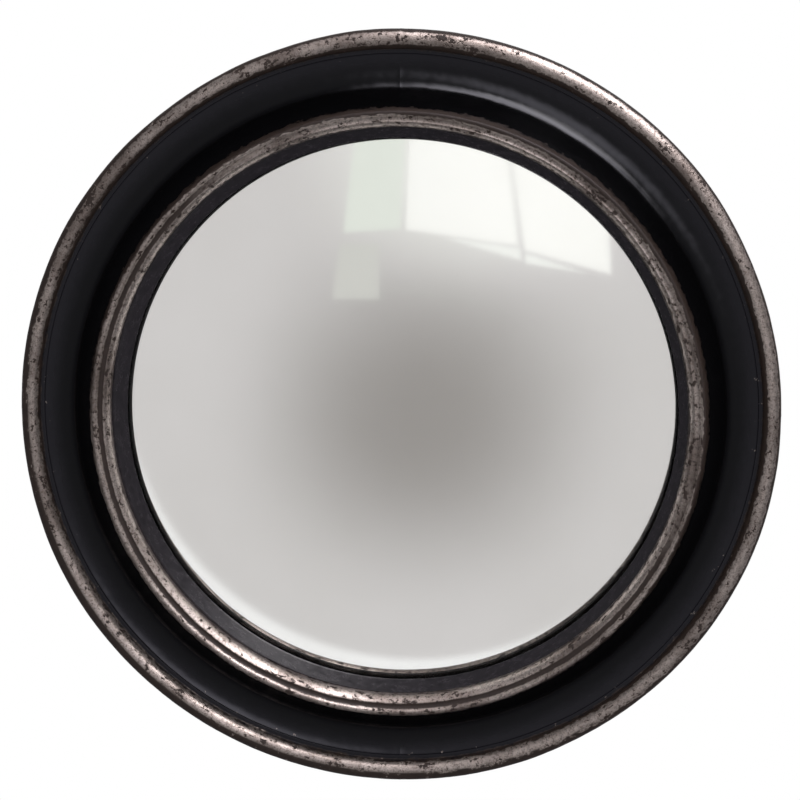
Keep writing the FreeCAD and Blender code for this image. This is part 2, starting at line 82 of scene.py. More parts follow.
def sectionRun(corners, spacing, closed=True):
    # corners are (radius, lift) in mm, or (radius, lift, arc radius, turn) before an arc, where a turn of +1 is
    # anticlockwise
    points = []
    for index in range(len(corners) if closed else len(corners) - 1):
        corner = corners[index]
        start = Vector(corner[:2])
        chord = Vector(corners[(index + 1) % len(corners)][:2]) - start
        if len(corner) == 2:
            steps = max(1, round(chord.length / spacing))
            points += [start + chord * (step / steps) for step in range(steps)]
            continue
        arcRadius, turn = corner[2:]
        inward = Vector((-chord.y, chord.x)).normalized() * turn
        centre = start + chord / 2 + inward * math.sqrt(arcRadius ** 2 - (chord.length / 2) ** 2)
        fromAngle = math.atan2(start.y - centre.y, start.x - centre.x)
        sweep = 2 * math.asin(chord.length / 2 / arcRadius) * turn
        steps = max(2, round(abs(sweep) * arcRadius / spacing))
        for step in range(steps):
            angle = fromAngle + sweep * step / steps
            points.append(centre + Vector((math.cos(angle), math.sin(angle))) * arcRadius)
    if not closed:
        points.append(Vector(corners[-1][:2]))
    return points


def sectionPlace(radius, lift):
    # a point of a turned section, in metres, in the half plane to the right of the axis
    return Vector((radius * mm, -(backPlane + lift) * mm, 0))


def drawRun(name, places, closed=True):
    # a point, extruded from place to place, and joined up to a face where the run is closed
    deselectAll()
    bpy.ops.mesh.primitive_plane_add(size=0.01, location=(0, 0, 0))
    piece = renamed(bpy.context.object, name)
    bpy.ops.object.mode_set(mode="EDIT")
    bpy.ops.mesh.merge(type="CENTER")
    bpy.ops.transform.translate(value=places[0])
    for last, place in zip(places, places[1:]):
        bpy.ops.mesh.extrude_vertices_move(TRANSFORM_OT_translate={"value": place - last})
    bpy.ops.mesh.select_all(action="SELECT")
    if closed:
        bpy.ops.mesh.edge_face_add()
    return piece


def renamed(piece, name):
    piece.name = name
    piece.data.name = name
    return piece


def wearCorners(piece, corners, wornRadius, segments):
    # rounds the named corners of the run that is drawn, and leaves the whole run selected
    places = [sectionPlace(*corner) for corner in corners]
    bpy.ops.mesh.select_mode(type="VERT")
    bpy.ops.mesh.select_all(action="DESELECT")
    leaveEdit()
    for vertex in piece.data.vertices:
        vertex.select = min((vertex.co - place).length for place in places) < cornerReach * mm
    bpy.ops.object.mode_set(mode="EDIT")
    bpy.ops.mesh.bevel(offset=wornRadius * mm, segments=segments, affect="VERTICES")
    bpy.ops.mesh.select_all(action="SELECT")


def turnRun(piece, steps, turn=360):
    # spins the run that is drawn about the mirror's axis, anticlockwise as seen from the front
    if turn == 360:
        bpy.ops.mesh.delete(type="ONLY_FACE")
        bpy.ops.mesh.select_all(action="SELECT")
    bpy.ops.mesh.spin(steps=steps, angle=-math.radians(turn), center=(0, 0, 0), axis=(0, -1, 0))
    leaveEdit()
    settle(piece)
    return piece


def applyModifier(piece, kind, **settings):
    makeActive(piece)
    change = piece.modifiers.new(kind.lower(), kind)
    for key, value in settings.items():
        setattr(change, key, value)
    bpy.ops.object.modifier_apply(modifier=change.name)


def turnPiece(piece, angle):
    # turns a piece about the mirror's axis, anticlockwise as seen from the front
    makeActive(piece)
    piece.rotation_euler = (0, -math.radians(angle), 0)
    bpy.ops.object.transform_apply(location=True, rotation=True, scale=True)


def copied(piece, name):
    makeActive(piece)
    bpy.ops.object.duplicate(linked=False)
    return renamed(bpy.context.object, name)


def tint(code):
    # an sRGB hex value, turned linear
    shares = [int(code[index:index + 2], 16) / 255 for index in (1, 3, 5)]
    return tuple(s / 12.92 if s <= 0.04045 else ((s + 0.055) / 1.055) ** 2.4 for s in shares) + (1.0,)


def addNode(tree, kind, values=None, links=None, stops=None, **settings):
    node = tree.nodes.new(kind)
    for key, value in settings.items():
        setattr(node, key, value)
    for socket, value in (values or {}).items():
        node.inputs[socket].default_value = value
    for socket, source in (links or {}).items():
        tree.links.new(source, node.inputs[socket])
    if stops:
        elements = node.color_ramp.elements
        while len(elements) < len(stops):
            elements.new(0.5)
        for element, (position, color) in zip(elements, stops):
            element.position = position
            element.color = color if isinstance(color, tuple) else (color, color, color, 1)
    return node


def newMaterial(name):
    material = bpy.data.materials.new(name)
    material.use_nodes = True
    material.node_tree.nodes.clear()
    return material, material.node_tree


def closeMaterial(tree, values, links):
    shader = addNode(tree, "ShaderNodeBsdfPrincipled", values, links)
    addNode(tree, "ShaderNodeOutputMaterial", links={"Surface": shader.outputs[0]})


# The view of the photograph: from a little above and to the right, with a long lens.
view = {"distance": 2.0, "elevation": 11.2, "azimuth": 3.5, "lens": 180.36, "target": (0, -0.022, 0),
        "shiftX": 0.0004, "shiftY": 0.0135}


def placeCamera():
    elevation, azimuth = math.radians(view["elevation"]), math.radians(view["azimuth"])
    away = Vector((math.sin(azimuth) * math.cos(elevation), -math.cos(azimuth) * math.cos(elevation),
                   math.sin(elevation)))
    place = Vector(view["target"]) + away * view["distance"]
    deselectAll()
    bpy.ops.object.camera_add(location=place, rotation=(-away).to_track_quat("-Z", "Y").to_euler())
    camera = bpy.context.object
    camera.name = "viewCamera"
    camera.data.lens = view["lens"]
    camera.data.sensor_width = 36
    camera.data.shift_x = view["shiftX"]
    camera.data.shift_y = view["shiftY"]
    bpy.context.scene.camera = camera


placeCamera()
print("camera placed")


# The turned moulding, in mm: radii from the axis and lifts above the frame's back. The hidden part runs from the
# rebate round the back and up the side, and the shown part from the bead in to the lip.
moulding = {
    "hidden": [(143.6, 22.0), (149.0, 22.0), (149.0, 4.0), (154.0, 4.0), (154.0, 0.0), (187.808, 0.0),
               (189.808, 2.0), (189.808, 12.677)],
    "shown": [(189.808, 12.677, 5.2, 1), (191.008, 16.0, 5.2, 1), (185.808, 21.2, 5.2, 1), (180.8, 14.6),
              (178.6, 14.6), (178.3, 13.8, 19.0, -1), (165.91, 13.83, 10.0, -1), (161.28, 17.12, 60.0, -1),
              (152.6, 32.6, 1.8, 1), (149.9, 32.6, 2.2, -1), (146.9, 31.6, 6.5, 1), (143.6, 24.3),
              (143.6, 22.0)],
    "shownSpacing": 0.62, "hiddenSpacing": 3.0, "steps": 260,    # points along the section and round a quarter
    "worn": [(180.8, 14.6), (178.6, 14.6), (178.3, 13.8), (152.6, 32.6), (149.9, 32.6), (146.9, 31.6),
             (143.6, 24.3), (143.6, 22.0), (189.808, 2.0), (187.808, 0.0), (154.0, 0.0)],
    "wornRadius": 0.22, "wornSegments": 3,
    "unevenness": [("gessoWaves", 24, 0.32), ("gessoLumps", 5, 0.12)],    # name, grain and depth
    "smoothAngle": 50,
    # how far the dried wood has drawn in, by degrees anticlockwise from the right, and the radii between which
    # that sets in
    "shrinkage": [(0, 1.1), (20, 1.0), (40, 0), (95, 0), (110, 1.0), (125, 1.45), (140, 1.05), (155, 0.8),
                  (180, 0.8), (190, 0.6), (205, 0), (290, 0), (300, 0.35), (340, 0.35), (350, 0.7), (360, 1.1)],
    "shrinkFrom": 179.0, "shrinkTo": 186.0,
}


def makeMoulding():
    # one quarter is drawn and turned, and the other three are copies, each then roughened in its own place
    run = sectionRun(moulding["shown"], moulding["shownSpacing"], closed=False)
    run = run[:-1] + sectionRun(moulding["hidden"], moulding["hiddenSpacing"], closed=False)[:-1]
    master = drawRun("frame_moulding_top_right", [sectionPlace(*point) for point in run])
    wearCorners(master, moulding["worn"], moulding["wornRadius"], moulding["wornSegments"])
    turnRun(master, moulding["steps"], 90)
    quarters = [master]
    for number, corner in enumerate(("top_left", "bottom_left", "bottom_right"), start=1):
        quarter = copied(master, f"frame_moulding_{corner}")
        turnPiece(quarter, 90 * number)
        quarters.append(quarter)
    return quarters


def roughen(piece, name, grain, depth):
    # hand-laid gesso is never quite even; the change is inwards only, so the frame keeps its size
    clouds = bpy.data.textures.get(name) or bpy.data.textures.new(name, "CLOUDS")
    clouds.noise_scale = grain * mm
    clouds.noise_depth = 3
    applyModifier(piece, "DISPLACE", texture=clouds, texture_coords="LOCAL", strength=depth * mm,
                  mid_level=1.0)


def drawIn(piece):
    # old wood shrinks across its grain, so the bead is no longer a true circle
    marks = moulding["shrinkage"]
    setsIn = moulding["shrinkTo"] - moulding["shrinkFrom"]
    for vertex in piece.data.vertices:
        radius = math.hypot(vertex.co.x, vertex.co.z) / mm
        share = min(1, max(0, (radius - moulding["shrinkFrom"]) / setsIn))
        angle = math.degrees(math.atan2(vertex.co.z, vertex.co.x)) % 360
        for (fromAngle, fromDepth), (toAngle, toDepth) in zip(marks, marks[1:]):
            if fromAngle <= angle <= toAngle:
                part = (1 - math.cos(math.pi * (angle - fromAngle) / (toAngle - fromAngle))) / 2
                depth = fromDepth + (toDepth - fromDepth) * part
        inward = 1 - depth * share * share * (3 - 2 * share) / radius
        vertex.co.x *= inward
        vertex.co.z *= inward


def finishQuarter(quarter):
    points = quarter.data.vertices
    onUpright = [vertex.index for vertex in points if abs(vertex.co.x) < jointReach * mm]
    onLevel = [vertex.index for vertex in points if abs(vertex.co.z) < jointReach * mm]
    for name, grain, depth in moulding["unevenness"]:
        roughen(quarter, name, grain, depth)
    drawIn(quarter)
    # the glued ends stay flat against their neighbours
    for index in onUpright:
        quarter.data.vertices[index].co.x = 0
    for index in onLevel:
        quarter.data.vertices[index].co.z = 0
    smoothPiece(quarter, moulding["smoothAngle"])


quarters = makeMoulding()
for quarter in quarters:
    finishQuarter(quarter)
print("moulding made:", sum(len(quarter.data.polygons) for quarter in quarters), "faces")


# The slip, the thin dark ring that slopes from the frame's lip down to the glass.
slip = {
    "corners": [(137.5, 18.556), (147.3, 15.961), (147.3, 21.95), (143.6, 21.95), (137.5, 18.96)],
    "spacing": 0.8, "steps": 360, "wornRadius": 0.12, "wornSegments": 3, "smoothAngle": 50,
    "unevenness": ("slipWaves", 14, 0.1),    # name, grain and depth
    "stains": ("#17141A", "#29242B"), "mottle": 0.2, "rough": (0.16, 0.32), "gloss": 0.8,
}
seatShift = 1.4    # the slip, the glass and its silver sit this far to the right of the frame's axis, in mm


def seat(piece):
    makeActive(piece)
    piece.location = (seatShift * mm, 0, 0)
    bpy.ops.object.transform_apply(location=True, rotation=True, scale=True)


def makeSlip():
    piece = drawRun("slip", [sectionPlace(*point) for point in sectionRun(slip["corners"], slip["spacing"])])
    wearCorners(piece, slip["corners"], slip["wornRadius"], slip["wornSegments"])
    turnRun(piece, slip["steps"])
    roughen(piece, *slip["unevenness"])
    seat(piece)
    smoothPiece(piece, slip["smoothAngle"])
    return piece


slipPiece = makeSlip()

# The glass is a slumped dome of one ball, and the silver is laid on its back. Lengths are in mm.
dome = {
    "glassRadius": 147.5, "ball": 553.906, "thickness": 3.0,
    "sightRadius": 136.2, "sightLift": 18.0,    # the front of the glass passes through this place
    "gap": 0.05, "coat": 0.2, "margin": 0.5,    # from glass to silver, its thickness, and its bare border
    "steps": 256, "spacing": 3.0, "arris": 0.4, "arrisSegments": 2,
    "tint": "#FBFDFC", "ior": 1.5, "waves": 14, "dust": 900,
    "silverTones": ("#F2F0ED", "#ECEAE6"), "fog": 9, "silverRough": (0.045, 0.065),
}
dome["centre"] = dome["sightLift"] - math.sqrt(dome["ball"] ** 2 - dome["sightRadius"] ** 2)


def makeDome(name, frontBall, backBall, edge, arris):
    def lift(radius, ball):
        return dome["centre"] + math.sqrt(ball ** 2 - radius ** 2)
    # from the pole out over the front, down the edge and back to the pole
    count = round(edge / dome["spacing"])
    rings = [edge * step / count for step in range(count + 1)]
    front = [(radius, lift(radius, frontBall)) for radius in rings]
    back = [(radius, lift(radius, backBall)) for radius in reversed(rings)]
    piece = drawRun(name, [sectionPlace(*point) for point in front + back], closed=False)
    if arris:
        wearCorners(piece, [front[-1], back[0]], arris, dome["arrisSegments"])
    turnRun(piece, dome["steps"])
    seat(piece)
    smoothPiece(piece, 40)
    return piece


backBall = dome["ball"] - dome["thickness"]
silverBall = backBall - dome["gap"]
glassPiece = makeDome("domed_glass", dome["ball"], backBall, dome["glassRadius"], dome["arris"])
silverPiece = makeDome("silver_coat", silverBall, silverBall - dome["coat"],
                       dome["glassRadius"] - dome["margin"], 0)
print("glass and slip made")


# How a pattern follows the ring: laid out on its mean radius in mm, finer across and up than along it.
ringPattern = {"meanRadius": 170, "across": 3.0, "over": 2.0, "lightFrom": (0.6, 0, 0.8)}


def mouldingPlace(tree):
    # where a point lies on the moulding: radius and lift in mm, whether it is on the side of the light, from -1 to
    # 1, and the place and height that a pattern on the ring reads
    place = addNode(tree, "ShaderNodeTexCoord").outputs["Object"]
    flat = addNode(tree, "ShaderNodeVectorMath", {1: (1 / mm, 0, 1 / mm)}, {0: place},
                   operation="MULTIPLY").outputs[0]
    radius = addNode(tree, "ShaderNodeVectorMath", links={0: flat}, operation="LENGTH").outputs["Value"]
    parts = addNode(tree, "ShaderNodeSeparateXYZ", links={0: place})
    lift = addNode(tree, "ShaderNodeMath", {1: -1 / mm, 2: -backPlane}, {0: parts.outputs["Y"]},
                   operation="MULTIPLY_ADD").outputs[0]
    outward = addNode(tree, "ShaderNodeVectorMath", links={0: flat}, operation="NORMALIZE").outputs[0]
    lightSide = addNode(tree, "ShaderNodeVectorMath", {1: ringPattern["lightFrom"]}, {0: outward},
                        operation="DOT_PRODUCT").outputs["Value"]
    along = addNode(tree, "ShaderNodeVectorMath", {"Scale": ringPattern["meanRadius"]}, {0: outward},
                    operation="SCALE").outputs[0]
    across = addNode(tree, "ShaderNodeMath", {1: ringPattern["across"]}, {0: radius},
                     operation="MULTIPLY").outputs[0]
    over = addNode(tree, "ShaderNodeMath", {1: ringPattern["over"]}, {0: lift}, operation="MULTIPLY").outputs[0]
    sideways = addNode(tree, "ShaderNodeCombineXYZ", links={1: across}).outputs[0]
    ring = addNode(tree, "ShaderNodeVectorMath", links={0: along, 1: sideways}, operation="ADD").outputs[0]
    return {"object": place, "radius": radius, "lift": lift, "lightSide": lightSide, "ring": ring, "over": over,
            "parts": parts}


# Water-gilt silver leaf on brown bole over gesso, and an ebonised cove: laid by hand, rubbed back, grown dull. The
# eye sees soft metal highlights with ragged edges, brown where the leaf has gone, and glossy black between. Some
# leaf borders also shift with the side of the light, as painted highlight and shade.
leaf = {
    "silver": "#E4DAD5", "warm": "#B9AAA0", "tarnish": "#64564F", "bole": "#40322A", "boleDark": "#211A16",
    # the paint's second, lighter tone is a painted sheen towards the fillet
    "paint": "#050506", "paintSheen": "#232227", "sideStain": "#18100D",
    "limewood": "#A98460", "limewoodDark": "#6E4F37",
    "leafRoughness": 0.34, "boleRoughness": 0.5, "paintRoughness": 0.13, "woodRoughness": 0.58,
    "patchRoughness": 0.12, "metal": 0.85, "relief": 0.2,
    # patterns in patterns a metre, but the streaks in patterns a mm along the ring
    "streaks": 0.16, "patches": 30, "chips": 250, "spots": 520, "flecks": 1300, "grain": 520,
    # how far the borders wander and are bitten into, in mm of radius and of lift
    "wander": 3.0, "liftWander": 2.4, "grooveWander": 1.2,
    # how far a border lies nearer the axis, or lower, on the side of the light, in mm; minus is further out. This
    # puts bright leaf where the highlights fall and brown bole where the shade falls: painted highlight and shade
    "footShift": -1.4, "crestShift": 1.5, "ringOuterShift": 1.8, "ringInnerShift": -0.9,
    # each border runs from its first number, where nothing is, to its second, where all is. These are sockets 1
    # and 2 of a Map Range, in mm of radius, or of lift where the name says so
    "beadFoot": {1: 182.1, 2: 182.7}, "beadLift": {1: 19.8, 2: 20.4}, "beadCrest": {1: 186.4, 2: 185.4},
    "ringOuter": {1: 152.4, 2: 151.6}, "ringInner": {1: 143.4, 2: 144.2},
    "boleBead": {1: 180.2, 2: 180.9}, "boleRing": {1: 154.2, 2: 153.2},
    "grooveOuter": {1: 149.4, 2: 149.9}, "grooveInner": {1: 147.4, 2: 146.8},
    "stray": {1: 176.5, 2: 178.5}, "paintedSheen": {1: 168, 2: 179},
    "backLift": {1: 0.55, 2: 0.35}, "rebate": {1: 154.35, 2: 154.1}, "lipLift": {1: 22.1, 2: 21.95},
    "runOver": {1: 184.6, 2: 186.2}, "sideLift": {1: 13.6, 2: 12.4},
    # likewise for the side of the light, where leaf left in the groove is a painted highlight, and for the
    # patterns; socket
    # 4 is the most that is reached
    "paintedGrooveHighlight": {1: 0.15, 2: 0.6}, "held": {1: 0.69, 2: 0.63}, "strayChips": {1: 0.66, 2: 0.69},
    "dull": {1: 0.42, 2: 0.66, 4: 0.62}, "mottled": {1: 0.92, 2: 1.24, 4: 0.75},
}


def makeFrameFinish():
    material, tree = newMaterial("silverLeafAndEbony")
    at = mouldingPlace(tree)
    # long streaks of wear, hand-wide patches, chips of a few mm, and spots and flecks of under a mm
    streak = addNode(tree, "ShaderNodeTexNoise", {"Scale": leaf["streaks"], "Detail": 6, "Roughness": 0.62},
                     {"Vector": at["ring"], "W": at["over"]}, noise_dimensions="4D").outputs[0]
    patch = addNode(tree, "ShaderNodeTexNoise", {"Scale": leaf["patches"], "Detail": 3, "Roughness": 0.55},
                    {"Vector": at["object"]}).outputs[0]
    chip = addNode(tree, "ShaderNodeTexNoise", {"Scale": leaf["chips"], "Detail": 5, "Roughness": 0.66},
                   {"Vector": at["object"]}).outputs[0]
    spot = addNode(tree, "ShaderNodeTexNoise", {"Scale": leaf["spots"], "Detail": 3, "Roughness": 0.6},
                   {"Vector": at["object"]}).outputs[0]
    fleck = addNode(tree, "ShaderNodeTexNoise", {"Scale": leaf["flecks"], "Detail": 2, "Roughness": 0.6},
                    {"Vector": at["object"]}).outputs[0]
    # the borders of the leaf wander with the streaks and are bitten into by the chips
    bite = addNode(tree, "ShaderNodeMath", links={0: streak, 1: chip}, operation="ADD").outputs[0]
    bite = addNode(tree, "ShaderNodeMath", {1: -1.0}, {0: bite}, operation="ADD").outputs[0]
    ragged = addNode(tree, "ShaderNodeMath", {1: leaf["wander"]}, {0: bite, 2: at["radius"]},
                     operation="MULTIPLY_ADD").outputs[0]
    raggedLift = addNode(tree, "ShaderNodeMath", {1: leaf["liftWander"]}, {0: bite, 2: at["lift"]},
                         operation="MULTIPLY_ADD").outputs[0]
    # on the bead the leaf has gone from its outer side, and from its foot where it faces the light; both borders
    # move with the side of the light so that bright leaf lies where highlights fall: painted highlight and shade
    beadFrom = addNode(tree, "ShaderNodeMath", {1: leaf["footShift"]}, {0: at["lightSide"], 2: ragged},
                       operation="MULTIPLY_ADD").outputs[0]
    beadFrom = addNode(tree, "ShaderNodeMapRange", leaf["beadFoot"], {0: beadFrom},
                       interpolation_type="SMOOTHSTEP").outputs[0]
    beadTo = addNode(tree, "ShaderNodeMath", {1: leaf["crestShift"]}, {0: at["lightSide"], 2: raggedLift},
                     operation="MULTIPLY_ADD").outputs[0]
    beadTo = addNode(tree, "ShaderNodeMapRange", leaf["beadLift"], {0: beadTo},
                     interpolation_type="SMOOTHSTEP").outputs[0]
    # inside the crest the leaf lies low as well
    insideCrest = addNode(tree, "ShaderNodeMapRange", leaf["beadCrest"], {0: at["radius"]}).outputs[0]
    beadTo = addNode(tree, "ShaderNodeMath", links={0: beadTo, 1: insideCrest}, operation="MAXIMUM").outputs[0]
    beadLeaf = addNode(tree, "ShaderNodeMath", links={0: beadFrom, 1: beadTo}, operation="MULTIPLY").outputs[0]
    # the two rings are leafed between the riser and the lip; these borders also move with the side of the light,
    # as painted highlight and shade
    ringTo = addNode(tree, "ShaderNodeMath", {1: leaf["ringOuterShift"]}, {0: at["lightSide"], 2: ragged},
                     operation="MULTIPLY_ADD").outputs[0]
    ringOuter = addNode(tree, "ShaderNodeMapRange", leaf["ringOuter"], {0: ringTo},
                        interpolation_type="SMOOTHSTEP").outputs[0]
    ringFrom = addNode(tree, "ShaderNodeMath", {1: leaf["ringInnerShift"]}, {0: at["lightSide"], 2: ragged},
                       operation="MULTIPLY_ADD").outputs[0]
    ringInner = addNode(tree, "ShaderNodeMapRange", leaf["ringInner"], {0: ringFrom},
                        interpolation_type="SMOOTHSTEP").outputs[0]
    ringLeaf = addNode(tree, "ShaderNodeMath", links={0: ringOuter, 1: ringInner},
                       operation="MULTIPLY").outputs[0]
    leafZone = addNode(tree, "ShaderNodeMath", links={0: beadLeaf, 1: ringLeaf}, operation="MAXIMUM").outputs[0]
    # bole lies under all of it, and a little further out
    boleBead = addNode(tree, "ShaderNodeMapRange", leaf["boleBead"], {0: ragged}).outputs[0]
    boleRing = addNode(tree, "ShaderNodeMapRange", leaf["boleRing"], {0: ragged}).outputs[0]
    boleZone = addNode(tree, "ShaderNodeMath", links={0: boleBead, 1: boleRing}, operation="MAXIMUM").outputs[0]
    # leaf is lost in the groove, but for the side that faces the light, where it is kept as a painted highlight
    nearly = addNode(tree, "ShaderNodeMath", {1: leaf["grooveWander"]}, {0: bite, 2: at["radius"]},
                     operation="MULTIPLY_ADD").outputs[0]
    grooveOut = addNode(tree, "ShaderNodeMapRange", leaf["grooveOuter"], {0: nearly}).outputs[0]
    grooveIn = addNode(tree, "ShaderNodeMapRange", leaf["grooveInner"], {0: nearly}).outputs[0]
    offGroove = addNode(tree, "ShaderNodeMath", links={0: grooveOut, 1: grooveIn},
                        operation="MAXIMUM").outputs[0]
    grooveHighlightMask = addNode(tree, "ShaderNodeMapRange", leaf["paintedGrooveHighlight"], {0: at["lightSide"]}).outputs[0]
    offGroove = addNode(tree, "ShaderNodeMath", links={0: offGroove, 1: grooveHighlightMask},
                        operation="MAXIMUM").outputs[0]
    # and it is lost where patches, streaks, chips and spots fall together
    loss = addNode(tree, "ShaderNodeMath", {1: 0.5}, {0: patch, 2: bite}, operation="MULTIPLY_ADD").outputs[0]
    loss = addNode(tree, "ShaderNodeMath", {1: 0.55}, {0: spot, 2: loss}, operation="MULTIPLY_ADD").outputs[0]
    held = addNode(tree, "ShaderNodeMapRange", leaf["held"], {0: loss},
                   interpolation_type="SMOOTHSTEP").outputs[0]
    leafMask = addNode(tree, "ShaderNodeMath", links={0: leafZone, 1: held}, operation="MULTIPLY").outputs[0]
    leafMask = addNode(tree, "ShaderNodeMath", links={0: leafMask, 1: offGroove},
                       operation="MULTIPLY").outputs[0]
    # stray flecks of leaf stick to the fillet and the top of the cove
    strayOut = addNode(tree, "ShaderNodeMapRange", leaf["stray"], {0: ragged}).outputs[0]
    stray = addNode(tree, "ShaderNodeMapRange", leaf["strayChips"], {0: chip}).outputs[0]
    stray = addNode(tree, "ShaderNodeMath", links={0: stray, 1: strayOut}, operation="MULTIPLY").outputs[0]
    leafMask = addNode(tree, "ShaderNodeMath", links={0: leafMask, 1: stray}, operation="MAXIMUM").outputs[0]
    # colours of the leaf, the bole and the paint, which greys towards the fillet as a painted sheen
    dull = addNode(tree, "ShaderNodeMapRange", leaf["dull"], {0: patch},
                   interpolation_type="SMOOTHSTEP").outputs[0]
    silver = addNode(tree, "ShaderNodeMix", {6: tint(leaf["silver"]), 7: tint(leaf["warm"])}, {0: streak},
                     data_type="RGBA").outputs[2]
    silver = addNode(tree, "ShaderNodeMix", {7: tint(leaf["tarnish"])}, {0: dull, 6: silver},
                     data_type="RGBA").outputs[2]
    mottle = addNode(tree, "ShaderNodeMath", links={0: spot, 1: fleck}, operation="ADD").outputs[0]
    mottle = addNode(tree, "ShaderNodeMapRange", leaf["mottled"], {0: mottle}).outputs[0]
    silver = addNode(tree, "ShaderNodeMix", {7: tint(leaf["tarnish"])}, {0: mottle, 6: silver},
                     data_type="RGBA").outputs[2]
    bole = addNode(tree, "ShaderNodeMix", {6: tint(leaf["boleDark"]), 7: tint(leaf["bole"])}, {0: chip},
                   data_type="RGBA").outputs[2]
    # painted sheen: the black paint turns lighter grey outwards to the fillet
    paintedSheen = addNode(tree, "ShaderNodeMapRange", leaf["paintedSheen"], {0: ragged},
                    interpolation_type="SMOOTHSTEP").outputs[0]
    paint = addNode(tree, "ShaderNodeMix", {6: tint(leaf["paint"]), 7: tint(leaf["paintSheen"])}, {0: paintedSheen},
                    data_type="RGBA").outputs[2]
    ground = addNode(tree, "ShaderNodeMix", links={0: boleZone, 6: paint, 7: bole}, data_type="RGBA").outputs[2]
    color = addNode(tree, "ShaderNodeMix", links={0: leafMask, 6: ground, 7: silver},
                    data_type="RGBA").outputs[2]
    groundRough = addNode(tree, "ShaderNodeMix", {2: leaf["paintRoughness"], 3: leaf["boleRoughness"]},
                          {0: boleZone}).outputs[0]
    rough = addNode(tree, "ShaderNodeMix", {3: leaf["leafRoughness"]}, {0: leafMask, 2: groundRough}).outputs[0]
    rough = addNode(tree, "ShaderNodeMath", {1: leaf["patchRoughness"]}, {0: patch, 2: rough},
                    operation="MULTIPLY_ADD").outputs[0]
    # the back and the rebates are bare limewood, its grain along each quarter's chord
    parts = at["parts"].outputs
    sideways = addNode(tree, "ShaderNodeMath", links={0: parts["X"]}, operation="ABSOLUTE").outputs[0]
    upright = addNode(tree, "ShaderNodeMath", links={0: parts["Z"]}, operation="ABSOLUTE").outputs[0]
    acrossGrain = addNode(tree, "ShaderNodeMath", links={0: sideways, 1: upright}, operation="ADD").outputs[0]
    alongGrain = addNode(tree, "ShaderNodeMath", links={0: sideways, 1: upright},
                         operation="SUBTRACT").outputs[0]
    alongGrain = addNode(tree, "ShaderNodeMath", {1: 0.05}, {0: alongGrain}, operation="MULTIPLY").outputs[0]
    grainPlace = addNode(tree, "ShaderNodeCombineXYZ",
                         links={0: acrossGrain, 1: alongGrain, 2: parts["Y"]}).outputs[0]
    grain = addNode(tree, "ShaderNodeTexNoise",
                    {"Scale": leaf["grain"], "Detail": 5, "Roughness": 0.6, "Distortion": 0.4},
                    {"Vector": grainPlace}).outputs[0]
    limewood = addNode(tree, "ShaderNodeValToRGB", links={0: grain},
                       stops=[(0.3, tint(leaf["limewoodDark"])), (0.62, tint(leaf["limewood"]))]).outputs[0]
    onBack = addNode(tree, "ShaderNodeMapRange", leaf["backLift"], {0: at["lift"]}).outputs[0]
    inRebate = addNode(tree, "ShaderNodeMapRange", leaf["rebate"], {0: at["radius"]}).outputs[0]
    underLip = addNode(tree, "ShaderNodeMapRange", leaf["lipLift"], {0: at["lift"]}).outputs[0]
    inRebate = addNode(tree, "ShaderNodeMath", links={0: inRebate, 1: underLip},
                       operation="MULTIPLY").outputs[0]
    bare = addNode(tree, "ShaderNodeMath", links={0: onBack, 1: inRebate}, operation="MAXIMUM").outputs[0]
    # below the bead the side is stained dark, and the stain has run a little way over the back's outer edge
    runOver = addNode(tree, "ShaderNodeMapRange", leaf["runOver"], {0: ragged}).outputs[0]
    onSide = addNode(tree, "ShaderNodeMapRange", leaf["sideLift"], {0: raggedLift}).outputs[0]
    stained = addNode(tree, "ShaderNodeMath", links={0: onSide, 1: runOver}, operation="MULTIPLY").outputs[0]
    bare = addNode(tree, "ShaderNodeMath", links={0: bare, 1: stained}, operation="SUBTRACT",
                   use_clamp=True).outputs[0]
    stain = addNode(tree, "ShaderNodeMix", {6: tint(leaf["sideStain"])}, {0: bare, 7: limewood},
                    data_type="RGBA").outputs[2]
    wood = addNode(tree, "ShaderNodeMath", links={0: bare, 1: stained}, operation="MAXIMUM").outputs[0]
    color = addNode(tree, "ShaderNodeMix", links={0: wood, 6: color, 7: stain}, data_type="RGBA").outputs[2]
    rough = addNode(tree, "ShaderNodeMix", {3: leaf["woodRoughness"]}, {0: wood, 2: rough}).outputs[0]
    # the leaf is toned and waxed, which takes a little off its metal
    toned = addNode(tree, "ShaderNodeMath", {1: leaf["metal"]}, {0: leafMask}, operation="MULTIPLY").outputs[0]
    metal = addNode(tree, "ShaderNodeMath", links={0: toned, 1: wood}, operation="SUBTRACT",
                    use_clamp=True).outputs[0]
    # the leaf stands a hair above its bole, and the gesso has fine flecks; bare wood shows its grain
    relief = addNode(tree, "ShaderNodeMath", {1: 0.9}, {0: fleck, 2: leafMask},
                     operation="MULTIPLY_ADD").outputs[0]
    relief = addNode(tree, "ShaderNodeMath", links={0: relief, 1: boleZone}, operation="MULTIPLY").outputs[0]
    relief = addNode(tree, "ShaderNodeMix", links={0: wood, 2: relief, 3: grain}).outputs[0]
    bump = addNode(tree, "ShaderNodeBump", {"Strength": 0.5, "Distance": leaf["relief"] * mm},
                   {"Height": relief}).outputs[0]
    closeMaterial(tree, {"Specular IOR Level": 0.45, "Specular Tint": (0.92, 0.93, 1, 1)},
                  {"Base Color": color, "Metallic": metal, "Roughness": rough, "Normal": bump})
    return material


frameFinish = makeFrameFinish()
for quarter, corner in zip(quarters, ("top_right", "top_left", "bottom_left", "bottom_right")):
    quarter.data.materials.clear()
    quarter.data.materials.append(frameFinish)
    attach(quarter, "mirror_frame")
    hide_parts(f"frame_segment_{corner}")


